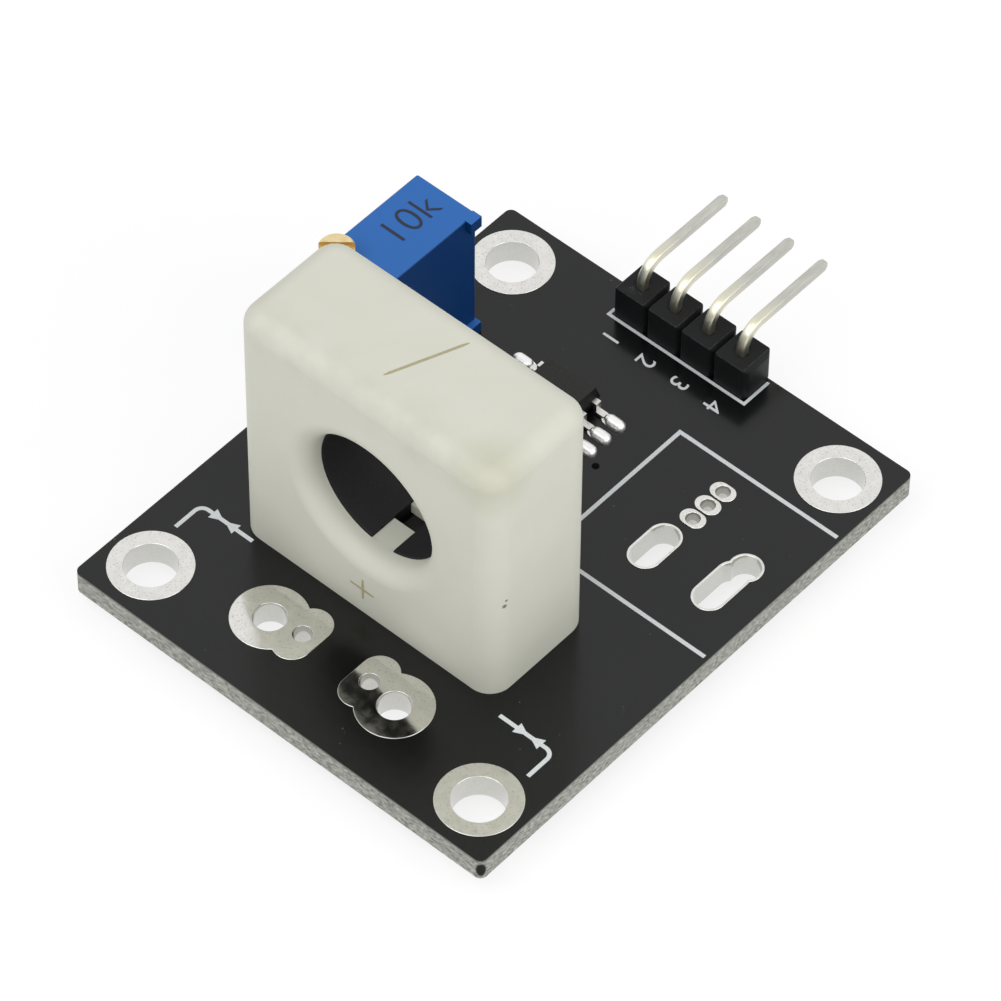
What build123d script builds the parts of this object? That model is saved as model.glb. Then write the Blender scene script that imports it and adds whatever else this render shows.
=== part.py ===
from build123d import *
import math
import os

os.makedirs("parts", exist_ok=True)

# Hall effect current sensor module: a moulded through-hole sensor, a multiturn
# trimmer, a comparator chip and a four-pin header on a small circuit board.
# Millimetres. z = 0 is the underside of the board, the origin is the centre of its
# four mounting holes, and +Y is the way the header pins point.

# Circuit board
board_width = 31.0
board_length = 37.4
board_thickness = 1.6
board_corner_radius = 0.45
mount_margin_x = 3.0
mount_margin_y = 3.2
mount_hole_radius = 1.6
mount_ring_radius = 2.55
plating = 0.05
lead_tail = 1.3
seat_clearance = 0.02
running_clearance = 0.05

# Where the rows of parts lie along the board, as shares of its length from the middle,
# so that a longer or shorter board spreads or closes the gaps between them
terminal_row = -0.3676
sensor_row = -0.1545
trimmer_row = 0.1464
comparator_row = 0.2178

# Wire pads at the front edge, a big eye beside a small oval one, mirrored left and right
terminal_middle_x = -0.15
big_eye_offset = 4.75
big_eye_radius = 2.33
big_eye_hole_radius = 1.02
small_eye_offset = 2.55
small_eye_setback = 0.33
small_eye_width = 2.4
small_eye_length = 4.15
small_eye_hole_radius = 0.59

# Empty places for a larger sensor: a slot, a keyhole and three lead holes
spare_slot_inset = 7.6
spare_slot_y = 4.7
spare_slot_width = 1.8
spare_slot_length = 3.5
spare_rim = 0.10
keyhole_inset = 2.9
keyhole_y = 5.0
keyhole_length = 3.9
keyhole_eye_shift = 0.22
keyhole_eye_radius = 0.90
spare_hole_shift = 0.3
spare_hole_y = 9.02
spare_hole_pitch = 1.33
spare_hole_radius = 0.45
spare_pad_length = 1.65
spare_pad_width = 1.2

# Moulded sensor block with the bore that the conductor passes through
sensor_x = -1.15
sensor_width = 19.3
sensor_depth = 8.3
sensor_height = 18.6
sensor_side_radius = 1.5
sensor_top_radius = 1.2
bore_radius = 4.5
bore_height = 9.2
bore_mouth_radius = 1.2
sensor_end_wall = 1.5
core_thickness = 2.9
core_gap = 1.6
core_edge = 0.15
chip_thickness = 1.5
chip_breadth = 4.1
chip_height = 3.0
chip_standoff = 0.9
chip_window = 1.39
chip_edge = 0.2
lug_depth = 0.05
hall_lead_pitch = 1.27
hall_lead_width = 0.42
hall_hole_radius = 0.45
hall_pad_radius = 0.58

# Multiturn trimmer: a screw with a worm turns a toothed rotor that carries the wiper
trimmer_edge_gap = 0.23
trimmer_width = 4.55
trimmer_length = 9.53
trimmer_height = 10.03
trimmer_edge = 0.15
trimmer_wall = 0.5
trimmer_roof = 0.8
trimmer_base_height = 1.0
nib_reach = 0.43
nib_length = 0.9
nib_height = 0.85
screw_inset = 1.27
screw_radius = 1.095
screw_proud = 1.52
screw_slot_width = 0.64
screw_slot_depth = 0.76
screw_slot_turn = 41.0
screw_edge = 0.12
neck_length = 2.2
neck_wall = 0.6
seal_setback = 0.93
seal_height = 0.5
seal_depth = 0.25
worm_module = 0.2
worm_root_radius = 0.40
worm_turns = 8
worm_journal_depth = 0.5
thread_root_width = 0.36
thread_tip_width = 0.14
rotor_teeth = 30
rotor_height = 5.0
rotor_thickness = 0.8
rotor_tooth_root_width = 0.30
rotor_tooth_tip_width = 0.12
rotor_post_radius = 0.75
wiper_thickness = 0.15
wiper_radius = 1.5
wiper_reach = 2.4
wiper_arm_width = 0.5
wiper_contact_height = 0.3
element_thickness = 0.6
element_breadth = 5.5
element_rib_width = 0.6
element_rib_spread = 4.4
trimmer_pin_pitch = 2.54
trimmer_pin_radius = 0.25
trimmer_hole_radius = 0.4
trimmer_pad_radius = 0.95

# Right-angle pin header at the back edge
header_x = -0.4
header_edge_distance = 1.1
header_pitch = 2.54
header_pin_count = 4
header_body_depth = 2.5
header_body_height = 2.5
header_groove_width = 0.44
header_groove_depth = 0.4
header_pin_size = 0.6
header_pin_height = 4.0
header_pin_reach = 7.4
header_bend_radius = 1.4
header_tip_length = 0.35
header_tip_size = 0.44
header_hole_radius = 0.55
header_pad_radius = 0.95

# Comparator chip in an eight-lead small-outline body
comparator_x = -3.3
comparator_body_width = 3.9
comparator_body_length = 4.9
comparator_body_height = 1.5
comparator_standoff = 0.1
comparator_draft = 0.2
comparator_pin_one_radius = 0.3
comparator_lead_pitch = 1.27
comparator_lead_width = 0.42
comparator_lead_thickness = 0.2
comparator_lead_reach = 2.85
comparator_lead_root = 0.3
comparator_foot = 0.55
leads_per_side = 4
comparator_pad_reach = 4.25
comparator_pad_length = 1.6
comparator_pad_width = 0.8
solder_film = 0.1
solder_bead_height = 0.35

# Small surface-mounted chips that stand behind the sensor block
small_chip_length = 1.6
small_chip_width = 0.8
resistor_height = 0.45
capacitor_height = 0.8
led_height = 0.6
small_chip_edge = 0.05
small_chip_side_gap = 1.9
small_chip_column_pitch = 3.1
small_chip_row_gap = 2.2
small_chip_row_pitch = 1.7

# Printed lines on the board
print_thickness = 0.02
print_line = 0.26
header_print_line = 0.2
header_outline_arm = 0.55
spare_outline_side_gap = 2.47
spare_outline_front_gap = 2.11
spare_outline_back_gap = 0.81
arrow_sensor_gap = 0.4
arrow_corner_inset = 2.08
arrow_corner_radius = 0.55
arrow_leg = 2.15
arrow_run = 4.0
arrow_near_head = 0.9
arrow_far_head = 2.72
arrow_head_length = 0.85
arrow_head_width = 0.8

# Places worked out from the sizes above
top = board_thickness
mount_x = board_width / 2 - mount_margin_x
mount_y = board_length / 2 - mount_margin_y
header_y = board_length / 2 - header_edge_distance
terminal_y = terminal_row * board_length
sensor_y = sensor_row * board_length
trimmer_middle_y = trimmer_row * board_length
comparator_y = comparator_row * board_length
spare_slot_x = board_width / 2 - spare_slot_inset
spare_hole_x = spare_slot_x + spare_hole_shift
keyhole_x = board_width / 2 - keyhole_inset
sensor_front = sensor_y - sensor_depth / 2
sensor_back = sensor_y + sensor_depth / 2
bore_z = top + bore_height
core_radius = bore_radius + core_thickness
core_front = sensor_front + sensor_end_wall
core_back = sensor_back - sensor_end_wall
chip_bottom = top + chip_standoff
chip_top = chip_bottom + chip_height
trimmer_left = -board_width / 2 + trimmer_edge_gap
trimmer_right = trimmer_left + trimmer_width
trimmer_front_y = trimmer_middle_y - trimmer_length / 2
trimmer_back_y = trimmer_middle_y + trimmer_length / 2
trimmer_top = top + trimmer_height
screw_x = trimmer_left + screw_inset
screw_y = trimmer_front_y + screw_inset
worm_addendum = worm_module
worm_dedendum = 1.25 * worm_module
worm_pitch = math.pi * worm_module
worm_pitch_radius = worm_root_radius + worm_dedendum
worm_radius = worm_pitch_radius + worm_addendum
rotor_pitch_radius = worm_module * rotor_teeth / 2
rotor_y = screw_y + worm_pitch_radius + rotor_pitch_radius
rotor_z = top + rotor_height
neck_bottom = trimmer_top - neck_length
rotor_left = screw_x - rotor_thickness / 2
rotor_right = screw_x + rotor_thickness / 2
element_left = rotor_right + wiper_thickness + wiper_contact_height + running_clearance
element_right = element_left + element_thickness
trimmer_pin_x = (element_left + element_right) / 2
base_top = top + trimmer_base_height


def cuboid(x0, x1, y0, y1, z0, z1):
    """Block between two corners."""
    centre = Pos((x0 + x1) / 2, (y0 + y1) / 2, (z0 + z1) / 2)
    return centre * Box(x1 - x0, y1 - y0, z1 - z0)


def upright(x, y, radius, z0, z1):
    """Round bar along Z between two heights."""
    return Pos(x, y, (z0 + z1) / 2) * Cylinder(radius, z1 - z0)


def bar_along_x(y, z, radius, x0, x1):
    """Round bar along X."""
    return Pos((x0 + x1) / 2, y, z) * Rot(0, 90, 0) * Cylinder(radius, x1 - x0)


def bar_along_y(x, z, radius, y0, y1):
    """Round bar along Y."""
    return Pos(x, (y0 + y1) / 2, z) * Rot(90, 0, 0) * Cylinder(radius, y1 - y0)


def save(name, shape):
    """Write one piece to its own file."""
    shape.label = name
    export_step(shape, f"parts/{name}.step")


# Outlines of the plated pads and of the openings they line

def ring_sites():
    """Centres of the four mounting holes."""
    return [(-mount_x, -mount_y), (mount_x, -mount_y), (-mount_x, mount_y), (mount_x, mount_y)]


def terminal_outline(side, eye_radius, oval_width, oval_length):
    """Round eye joined to an upright oval, on the left (-1) or right (1)."""
    eye = Pos(terminal_middle_x + side * big_eye_offset, terminal_y) * Circle(eye_radius)
    oval_place = Pos(terminal_middle_x + side * small_eye_offset, terminal_y + small_eye_setback)
    return eye + oval_place * Rot(0, 0, 90) * SlotOverall(oval_length, oval_width)


def terminal_holes(side, growth=0.0):
    """The two drilled holes of one wire pad."""
    eye = Pos(terminal_middle_x + side * big_eye_offset, terminal_y)
    oval = Pos(terminal_middle_x + side * small_eye_offset, terminal_y + small_eye_setback)
    return eye * Circle(big_eye_hole_radius + growth) + oval * Circle(small_eye_hole_radius + growth)


def slot_outline(growth=0.0):
    """Spare slot, lying along Y."""
    size = (spare_slot_length + 2 * growth, spare_slot_width + 2 * growth)
    return Pos(spare_slot_x, spare_slot_y) * Rot(0, 0, 90) * SlotOverall(*size)


def keyhole_outline(growth=0.0):
    """Spare slot with a round eye at its back end."""
    size = (keyhole_length + 2 * growth, spare_slot_width + 2 * growth)
    slot = Pos(keyhole_x, keyhole_y) * Rot(0, 0, 90) * SlotOverall(*size)
    eye = Pos(keyhole_x + keyhole_eye_shift, keyhole_y + keyhole_length / 2)
    return slot + eye * Circle(keyhole_eye_radius + growth)


def spare_hole_places():
    """Centres of the three spare lead holes."""
    return [(spare_hole_x, spare_hole_y + step * spare_hole_pitch) for step in (-1, 0, 1)]


def plated_lining(pad, hole, widened_hole):
    """Pads on both faces of the board and the barrel that lines the hole between them."""
    ring = pad - hole
    upper = Pos(0, 0, top) * extrude(ring, plating)
    lower = Pos(0, 0, -plating) * extrude(ring, plating)
    barrel = extrude(widened_hole - hole, board_thickness)
    return upper + barrel + lower


# Lead places shared by the board, the leads and their solder

def hall_lead_places():
    """The sensor chip's three leads stand in a row along Y."""
    return [(sensor_x, sensor_y + step * hall_lead_pitch) for step in (-1, 0, 1)]


def trimmer_pin_places():
    """The trimmer's three pins, in line under its ceramic element."""
    return [(trimmer_pin_x, trimmer_middle_y + step * trimmer_pin_pitch) for step in (-1, 0, 1)]


def header_pin_places():
    """Header pins in one row along X."""
    first = header_x - header_pitch * (header_pin_count - 1) / 2
    return [(first + index * header_pitch, header_y) for index in range(header_pin_count)]


def circuit_board():
    """Fibreglass board with every drilled and milled opening."""
    outline = RectangleRounded(board_width, board_length, board_corner_radius)
    lining = plating + seat_clearance
    for x, y in ring_sites():
        outline -= Pos(x, y) * Circle(mount_hole_radius + lining)
    for side in (-1, 1):
        outline -= terminal_holes(side, lining)
    outline -= slot_outline(lining)
    outline -= keyhole_outline(lining)
    for x, y in spare_hole_places():
        outline -= Pos(x, y) * Circle(spare_hole_radius + lining)
    drilled = [(hall_lead_places(), hall_hole_radius)]
    drilled.append((trimmer_pin_places(), trimmer_hole_radius))
    drilled.append((header_pin_places(), header_hole_radius))
    for places, radius in drilled:
        for x, y in places:
            outline -= Pos(x, y) * Circle(radius)
    return extrude(outline, board_thickness)


def solder_joint(x, y, hole_radius, pad_radius, lead):
    """Solder that fills a hole and wets the lead below the board in a cone."""
    filling = upright(x, y, hole_radius - seat_clearance, 0, top)
    cone_height = 0.6 * lead_tail
    neck = 0.5 * (hole_radius + pad_radius)
    cone = Pos(x, y, -cone_height / 2) * Cone(hole_radius, pad_radius, cone_height)
    collar = upright(x, y, neck, -plating, 0)
    return filling + collar + cone - lead


# Sensor block

def chip_pocket():
    """Room for the sensing chip between the core's pole faces, open below."""
    half_x = core_gap / 2
    half_y = chip_breadth / 2 + seat_clearance
    pocket = cuboid(sensor_x - half_x, sensor_x + half_x, sensor_y - half_y, sensor_y + half_y,
                    top, chip_top + seat_clearance)
    half_window = chip_window / 2
    window = cuboid(sensor_x - half_x, sensor_x + half_x, sensor_y - half_window,
                    sensor_y + half_window, chip_top, bore_z)
    return pocket + window


def gapped_ring(inner, outer, front, back, gap):
    """Ring round the bore with a gap at its foot."""
    ring = bar_along_y(sensor_x, bore_z, outer, front, back)
    ring -= bar_along_y(sensor_x, bore_z, inner, front - 1, back + 1)
    ring -= cuboid(sensor_x - gap / 2, sensor_x + gap / 2, front - 1, back + 1,
                   bore_z - 2 * outer, bore_z)
    return ring


def sensor_housing():
    """Ivory moulding: rounded block, mouth of the bore, seat of the core and of the chip."""
    body = cuboid(sensor_x - sensor_width / 2, sensor_x + sensor_width / 2,
                  sensor_front, sensor_back, top, top + sensor_height)
    body = fillet(body.edges().filter_by(Axis.Z), sensor_side_radius)
    body = fillet(body.faces().sort_by(Axis.Z)[-1].edges(), sensor_top_radius)
    body -= bar_along_y(sensor_x, bore_z, bore_radius, sensor_front - 1, sensor_back + 1)
    mouths = body.edges().filter_by(GeomType.CIRCLE)
    mouths = [edge for edge in mouths if abs(edge.radius - bore_radius) < seat_clearance]
    body = fillet(mouths, bore_mouth_radius)
    body -= gapped_ring(bore_radius - lug_depth, core_radius + seat_clearance,
                        core_front - seat_clearance, core_back + seat_clearance, core_gap)
    lug_x = core_gap / 2
    lug_top = bore_z - bore_radius - lug_depth
    body -= cuboid(sensor_x - lug_x, sensor_x + lug_x, core_front, core_back, lug_top, bore_z)
    return body - chip_pocket()


def sensor_core():
    """Charcoal magnetic core, a short ring with a gap at its foot."""
    ring = gapped_ring(bore_radius, core_radius, core_front, core_back,
                       core_gap + 2 * seat_clearance)
    rims = [edge for edge in ring.edges().filter_by(GeomType.CIRCLE)
            if abs(edge.radius - bore_radius) < seat_clearance]
    return chamfer(rims, core_edge)


def hall_chip():
    """Sensing chip with its flat sides towards the core's pole faces."""
    body = cuboid(sensor_x - chip_thickness / 2, sensor_x + chip_thickness / 2,
                  sensor_y - chip_breadth / 2, sensor_y + chip_breadth / 2, chip_bottom, chip_top)
    return chamfer(body.faces().sort_by(Axis.Z)[-1].edges().filter_by(Axis.Y), chip_edge)


def hall_lead(x, y):
    """Square lead from the chip down through the board."""
    half = hall_lead_width / 2
    return cuboid(x - half, x + half, y - half, y + half, -lead_tail, chip_bottom)


# Trimmer

def trimmer_nibs():
    """Small feet on the corners of the trimmer's right side."""
    nibs = []
    for y0 in (trimmer_front_y, trimmer_back_y - nib_length):
        for z0 in (top, trimmer_top - nib_height):
            nibs.append(cuboid(trimmer_right - trimmer_wall / 2, trimmer_right + nib_reach,
                               y0, y0 + nib_length, z0, z0 + nib_height))
    return nibs


def trimmer_cavity():
    """Room inside the trimmer, less the collar round the screw's neck."""
    room = cuboid(trimmer_left + trimmer_wall, trimmer_right - trimmer_wall,
                  trimmer_front_y + trimmer_wall, trimmer_back_y - trimmer_wall,
                  top, trimmer_top - trimmer_roof)
    collar = upright(screw_x, screw_y, screw_radius + neck_wall, neck_bottom, trimmer_top)
    channel = upright(screw_x, screw_y, worm_radius + 2 * running_clearance, base_top, neck_bottom)
    return room - collar + channel


def trimmer_housing():
    """Blue case, open below, with the rotor's post and the ribs that back the element."""
    case = cuboid(trimmer_left, trimmer_right, trimmer_front_y, trimmer_back_y, top, trimmer_top)
    case = fillet(case.edges().filter_by(Axis.Z) + case.faces().sort_by(Axis.Z)[-1].edges(),
                  trimmer_edge)
    for nib in trimmer_nibs():
        case += nib
    case -= trimmer_cavity()
    case -= upright(screw_x, screw_y, screw_radius + running_clearance, neck_bottom, trimmer_top + 1)
    case += bar_along_x(rotor_y, rotor_z, rotor_post_radius, trimmer_left + trimmer_wall / 2,
                        rotor_right + wiper_thickness)
    for side in (-1, 1):
        rib_y = rotor_y + side * element_rib_spread / 2
        case += cuboid(element_right, trimmer_right - trimmer_wall / 2,
                       rib_y - element_rib_width / 2, rib_y + element_rib_width / 2,
                       base_top, trimmer_top - trimmer_roof / 2)
    return case


def trimmer_base():
    """Cast resin that closes the case and holds the pins and the screw's lower journal."""
    gap = trimmer_wall + seat_clearance
    base = cuboid(trimmer_left + gap, trimmer_right - gap, trimmer_front_y + gap,
                  trimmer_back_y - gap, top, base_top)
    base -= upright(screw_x, screw_y, worm_root_radius + running_clearance,
                    base_top - worm_journal_depth - running_clearance, base_top + 1)
    for x, y in trimmer_pin_places():
        base -= upright(x, y, trimmer_pin_radius + seat_clearance, top - 1, base_top + 1)
    return base


def worm_thread(z0):
    """One thread wound round the screw's shaft, its section a trapezium."""
    path = Helix(worm_pitch, worm_pitch * worm_turns, worm_root_radius)
    sunk = worm_root_radius - seat_clearance
    section = [(sunk, -thread_root_width / 2), (worm_radius, -thread_tip_width / 2),
               (worm_radius, thread_tip_width / 2), (sunk, thread_root_width / 2)]
    face = make_face(Plane.XZ * Polyline(*section, close=True))
    return Pos(screw_x, screw_y, z0) * sweep(face, path=path, is_frenet=True)


def seal_groove():
    """Lower and upper height and inner radius of the groove that the seal sits in."""
    upper = trimmer_top - seal_setback
    return upper - seal_height, upper, screw_radius - seal_depth


def trimmer_screw():
    """Brass screw: slotted head, neck with the seal's groove, worm and lower journal."""
    head_top = trimmer_top + screw_proud
    head = upright(screw_x, screw_y, screw_radius, neck_bottom, head_top)
    head = chamfer(head.faces().sort_by(Axis.Z)[-1].edges(), screw_edge)
    groove_z0, groove_z1, groove_radius = seal_groove()
    groove = upright(screw_x, screw_y, screw_radius + 1, groove_z0, groove_z1)
    groove -= upright(screw_x, screw_y, groove_radius, groove_z0 - 1, groove_z1 + 1)
    slot = cuboid(-2 * screw_radius, 2 * screw_radius, -screw_slot_width / 2, screw_slot_width / 2,
                  head_top - screw_slot_depth, head_top + 1)
    slot = Pos(screw_x, screw_y) * Rot(0, 0, screw_slot_turn) * slot
    shaft = upright(screw_x, screw_y, worm_root_radius, base_top - worm_journal_depth, neck_bottom)
    quarter_turn = 0.25
    thread = worm_thread(rotor_z - worm_pitch * (worm_turns / 2 + quarter_turn))
    return head - groove - slot + shaft + thread


def trimmer_seal():
    """Rubber ring in the groove of the screw's neck."""
    z0, z1, inner = seal_groove()
    gap = seat_clearance
    outer = screw_radius + running_clearance - gap
    ring = upright(screw_x, screw_y, outer, z0 + gap, z1 - gap)
    ring -= upright(screw_x, screw_y, inner + gap, z0 - 1, z1 + 1)
    return ring


def trimmer_rotor():
    """Toothed wheel that the worm turns, free on the housing's post."""
    root = rotor_pitch_radius - worm_dedendum
    tip = rotor_pitch_radius + worm_addendum
    points = []
    for index in range(rotor_teeth):
        middle = (index + 0.5) * 2 * math.pi / rotor_teeth
        root_turn = rotor_tooth_root_width / 2 / root
        tip_turn = rotor_tooth_tip_width / 2 / tip
        for radius, angle in ((root, -root_turn), (tip, -tip_turn), (tip, tip_turn), (root, root_turn)):
            turn = middle + angle
            points.append((radius * math.cos(turn), radius * math.sin(turn)))
    wheel = make_face(Polyline(*points, close=True)) - Circle(rotor_post_radius + running_clearance)
    plane = Plane(origin=(rotor_left, rotor_y, rotor_z), x_dir=(0, 1, 0), z_dir=(1, 0, 0))
    return plane * extrude(wheel, rotor_thickness)


def trimmer_wiper():
    """Springy contact on the rotor, a ring with one arm and a raised tip."""
    plane = Plane(origin=(rotor_right, rotor_y, rotor_z), x_dir=(0, 1, 0), z_dir=(1, 0, 0))
    leaf = Circle(wiper_radius) + Pos(0, wiper_reach / 2) * Rectangle(wiper_arm_width, wiper_reach)
    leaf -= Circle(rotor_post_radius + running_clearance)
    tip = Pos(0, wiper_reach - wiper_arm_width / 2) * Rectangle(wiper_arm_width, wiper_arm_width)
    return plane * (extrude(leaf, wiper_thickness) + extrude(tip, wiper_thickness + wiper_contact_height))


def trimmer_element():
    """Ceramic plate with the resistive track, standing on the resin base."""
    half = element_breadth / 2
    return cuboid(element_left, element_right, rotor_y - half, rotor_y + half,
                  base_top, neck_bottom - running_clearance)


def trimmer_pin(x, y):
    """Round pin from the element down through the board."""
    return upright(x, y, trimmer_pin_radius, -lead_tail, base_top)


# Header

def diamond(half_x, half_y):
    """Four-cornered outline whose points cut the grooves between the header's cells."""
    return make_face(Polyline((-half_x, 0), (0, -half_y), (half_x, 0), (0, half_y), close=True))


def header_housing():
    """Black plastic strip of square cells, parted by grooves in its sides and top."""
    length = header_pitch * header_pin_count
    half_depth = header_body_depth / 2
    z1 = top + header_body_height
    strip = cuboid(header_x - length / 2, header_x + length / 2, header_y - half_depth,
                   header_y + half_depth, top, z1)
    half_groove = header_groove_width / 2
    for boundary in range(header_pin_count + 1):
        x = header_x - length / 2 + boundary * header_pitch
        for y in (header_y - half_depth, header_y + half_depth):
            notch = diamond(half_groove, header_groove_depth)
            strip -= Pos(x, y, top - 1) * extrude(notch, header_body_height + 2)
        across = Plane.XZ * diamond(half_groove, header_groove_depth)
        strip -= Pos(x, header_y, z1) * extrude(across, header_body_depth, both=True)
    half_pin = header_pin_size / 2
    for x, y in header_pin_places():
        strip -= cuboid(x - half_pin, x + half_pin, y - half_pin, y + half_pin, top - 1, z1 + 1)
    return strip


def header_pin(x, y):
    """Square pin that rises through the strip and bends towards +Y, with a tapered tip."""
    axis_z = top + header_pin_height
    tip_y = y + header_pin_reach
    path = FilletPolyline((x, y, -lead_tail), (x, y, axis_z),
                          (x, tip_y - header_tip_length, axis_z), radius=header_bend_radius)
    section = Plane(origin=(x, y, -lead_tail)) * Rectangle(header_pin_size, header_pin_size)
    shank = sweep(section, path=path)
    root = Plane(origin=(x, tip_y - header_tip_length, axis_z), z_dir=(0, 1, 0))
    end = Plane(origin=(x, tip_y, axis_z), z_dir=(0, 1, 0))
    tip = loft([root * Rectangle(header_pin_size, header_pin_size),
                end * Rectangle(header_tip_size, header_tip_size)])
    return shank + tip


# Comparator chip

def comparator_lead_y(index):
    """Middle of one lead along Y."""
    offset = (index - (leads_per_side - 1) / 2) * comparator_lead_pitch
    return comparator_y + offset


def comparator_lead(side, index):
    """Gull-wing lead: shoulder out of the body, drop, and a flat foot on its pad."""
    y = comparator_lead_y(index)
    thick = comparator_lead_thickness
    foot_z = top + solder_film
    shoulder_z = top + comparator_standoff + comparator_body_height / 2 - thick / 2
    root = comparator_body_width / 2 - comparator_lead_root
    end = comparator_lead_reach
    heel = end - comparator_foot
    profile = [(root, shoulder_z), (heel - thick, shoulder_z), (heel - thick, foot_z),
               (end, foot_z), (end, foot_z + thick), (heel, foot_z + thick),
               (heel, shoulder_z + thick), (root, shoulder_z + thick)]
    corners = [(comparator_x + side * x, z) for x, z in profile]
    face = make_face(Plane.XZ * Polyline(*corners, close=True))
    return Pos(0, y, 0) * extrude(face, comparator_lead_width / 2, both=True)


def comparator_body(leads):
    """Black moulding, widest at the level of its leads, with a dimple at lead one."""
    z0 = top + comparator_standoff
    z1 = z0 + comparator_body_height
    parting = z0 + comparator_body_height / 2
    widest = Rectangle(comparator_body_width, comparator_body_length)
    narrow = Rectangle(comparator_body_width - 2 * comparator_draft,
                       comparator_body_length - 2 * comparator_draft)
    lower = loft([Pos(0, 0, z0) * narrow, Pos(0, 0, parting) * widest])
    upper = loft([Pos(0, 0, parting) * widest, Pos(0, 0, z1) * narrow])
    body = Pos(comparator_x, comparator_y) * (lower + upper)
    mark_x = comparator_x - comparator_body_width / 2 + 3 * comparator_pin_one_radius
    mark_y = comparator_y - comparator_body_length / 2 + 3 * comparator_pin_one_radius
    body -= upright(mark_x, mark_y, comparator_pin_one_radius, z1 - solder_film, z1 + 1)
    for lead in leads:
        body -= lead
    return body


def solder_bead(length, width, height):
    """Rounded lump of solder on an oval footing."""
    lump = extrude(SlotOverall(length, width), height)
    return fillet(lump.faces().sort_by(Axis.Z)[-1].edges(), 0.8 * min(height, width / 2))


def comparator_solder():
    """Film of solder under each foot with a bead at its end."""
    pieces = []
    bead_length = comparator_pad_reach - comparator_lead_reach
    for side in (-1, 1):
        for index in range(leads_per_side):
            y = comparator_lead_y(index)
            pad_x = comparator_x + side * (comparator_pad_reach - comparator_pad_length / 2)
            film = extrude(SlotOverall(comparator_pad_length, comparator_pad_width), solder_film)
            bead_x = comparator_x + side * (comparator_lead_reach + bead_length / 2)
            bead = solder_bead(bead_length, comparator_pad_width, solder_film + solder_bead_height)
            pieces.append(Pos(pad_x, y, top) * film + Pos(bead_x, y, top) * bead)
    return Compound(children=pieces)


# Small chips

def small_chip_place(column, row):
    """Places in two rows behind the sensor block."""
    first = trimmer_right + nib_reach + small_chip_side_gap + small_chip_length / 2
    x = first + column * small_chip_column_pitch
    y = sensor_back + small_chip_row_gap + row * small_chip_row_pitch
    return x, y


def small_chip(place, height):
    """Brick-shaped part that stands on its solder film."""
    x, y = place
    half_x = small_chip_length / 2
    half_y = small_chip_width / 2
    z0 = top + solder_film
    brick = cuboid(x - half_x, x + half_x, y - half_y, y + half_y, z0, z0 + height)
    return chamfer(brick.edges().filter_by(Axis.X), small_chip_edge)


def small_chip_solder(places):
    """Film and fillet of solder at both ends of every small chip."""
    pieces = []
    bead = small_chip_width / 2
    for x, y in places:
        for side in (-1, 1):
            end = x + side * small_chip_length / 2
            film = cuboid(end - bead, end + bead, y - bead, y + bead, top, top + solder_film)
            ramp = [(0, solder_film), (side * bead, solder_film), (0, solder_film + bead)]
            face = make_face(Plane.XZ * Polyline(*ramp, close=True))
            wedge = Pos(end, y, top) * extrude(face, bead, both=True)
            pieces.append(film + wedge)
    return Compound(children=pieces)


# Printed lines

def arrow(side):
    """Line that turns a corner on the left (-1) or right (1), with two heads face to face."""
    arrow_y = sensor_front - arrow_sensor_gap
    corner_x = side * (board_width / 2 - arrow_corner_inset)
    route = FilletPolyline((corner_x, arrow_y - arrow_leg), (corner_x, arrow_y),
                           (corner_x - side * arrow_run, arrow_y), radius=arrow_corner_radius)
    drawn = trace(route, print_line)
    for setback, way in ((arrow_near_head, -side), (arrow_far_head, side)):
        base_x = corner_x - side * setback
        low = (base_x, arrow_y - arrow_head_width / 2)
        high = (base_x, arrow_y + arrow_head_width / 2)
        tip = (base_x + way * arrow_head_length, arrow_y)
        drawn += make_face(Polyline(low, tip, high, close=True))
    return drawn


def board_print():
    """Outlines of the header and of the spare sensor, and the two current arrows."""
    gap = header_print_line / 2 + seat_clearance
    half = header_pitch * header_pin_count / 2
    front = header_y - header_body_depth / 2 - gap
    left = header_x - half - gap
    right = header_x + half + gap
    back = board_length / 2 - print_line
    header_line = Polyline((left, front + header_outline_arm), (left, front), (right, front),
                           (right, back))
    edge = board_width / 2 - print_line
    spare_x = comparator_x + comparator_pad_reach + spare_outline_side_gap
    spare_y0 = sensor_back + spare_outline_front_gap
    spare_y1 = mount_y - mount_ring_radius - spare_outline_back_gap
    spare_line = Polyline((edge, spare_y0), (spare_x, spare_y0), (spare_x, spare_y1), (edge, spare_y1))
    drawn = trace(header_line, header_print_line) + trace(spare_line, print_line)
    drawn += arrow(-1) + arrow(1)
    pieces = [Pos(0, 0, top) * extrude(face, print_thickness) for face in drawn.faces()]
    return Compound(children=pieces)


def write_board():
    """The bare board, its plated openings and its print."""
    save("circuit_board", circuit_board())
    for number, (x, y) in enumerate(ring_sites(), 1):
        place = Pos(x, y)
        widened = place * Circle(mount_hole_radius + plating)
        hole = place * Circle(mount_hole_radius)
        save(f"mounting_ring_{number}", plated_lining(place * Circle(mount_ring_radius), hole, widened))
    for side, word in ((-1, "left"), (1, "right")):
        pad = terminal_outline(side, big_eye_radius, small_eye_width, small_eye_length)
        lining = plated_lining(pad, terminal_holes(side), terminal_holes(side, plating))
        save(f"board_pad_{word}", lining)
    rim = plating + spare_rim
    save("spare_slot_lining", plated_lining(slot_outline(rim), slot_outline(), slot_outline(plating)))
    keyhole = plated_lining(keyhole_outline(rim), keyhole_outline(), keyhole_outline(plating))
    save("spare_keyhole_lining", keyhole)
    for number, (x, y) in enumerate(spare_hole_places(), 1):
        place = Pos(x, y)
        pad = place * SlotOverall(spare_pad_length, spare_pad_width)
        hole = place * Circle(spare_hole_radius)
        widened = place * Circle(spare_hole_radius + plating)
        save(f"spare_hole_ring_{number}", plated_lining(pad, hole, widened))
    save("board_print", board_print())


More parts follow.
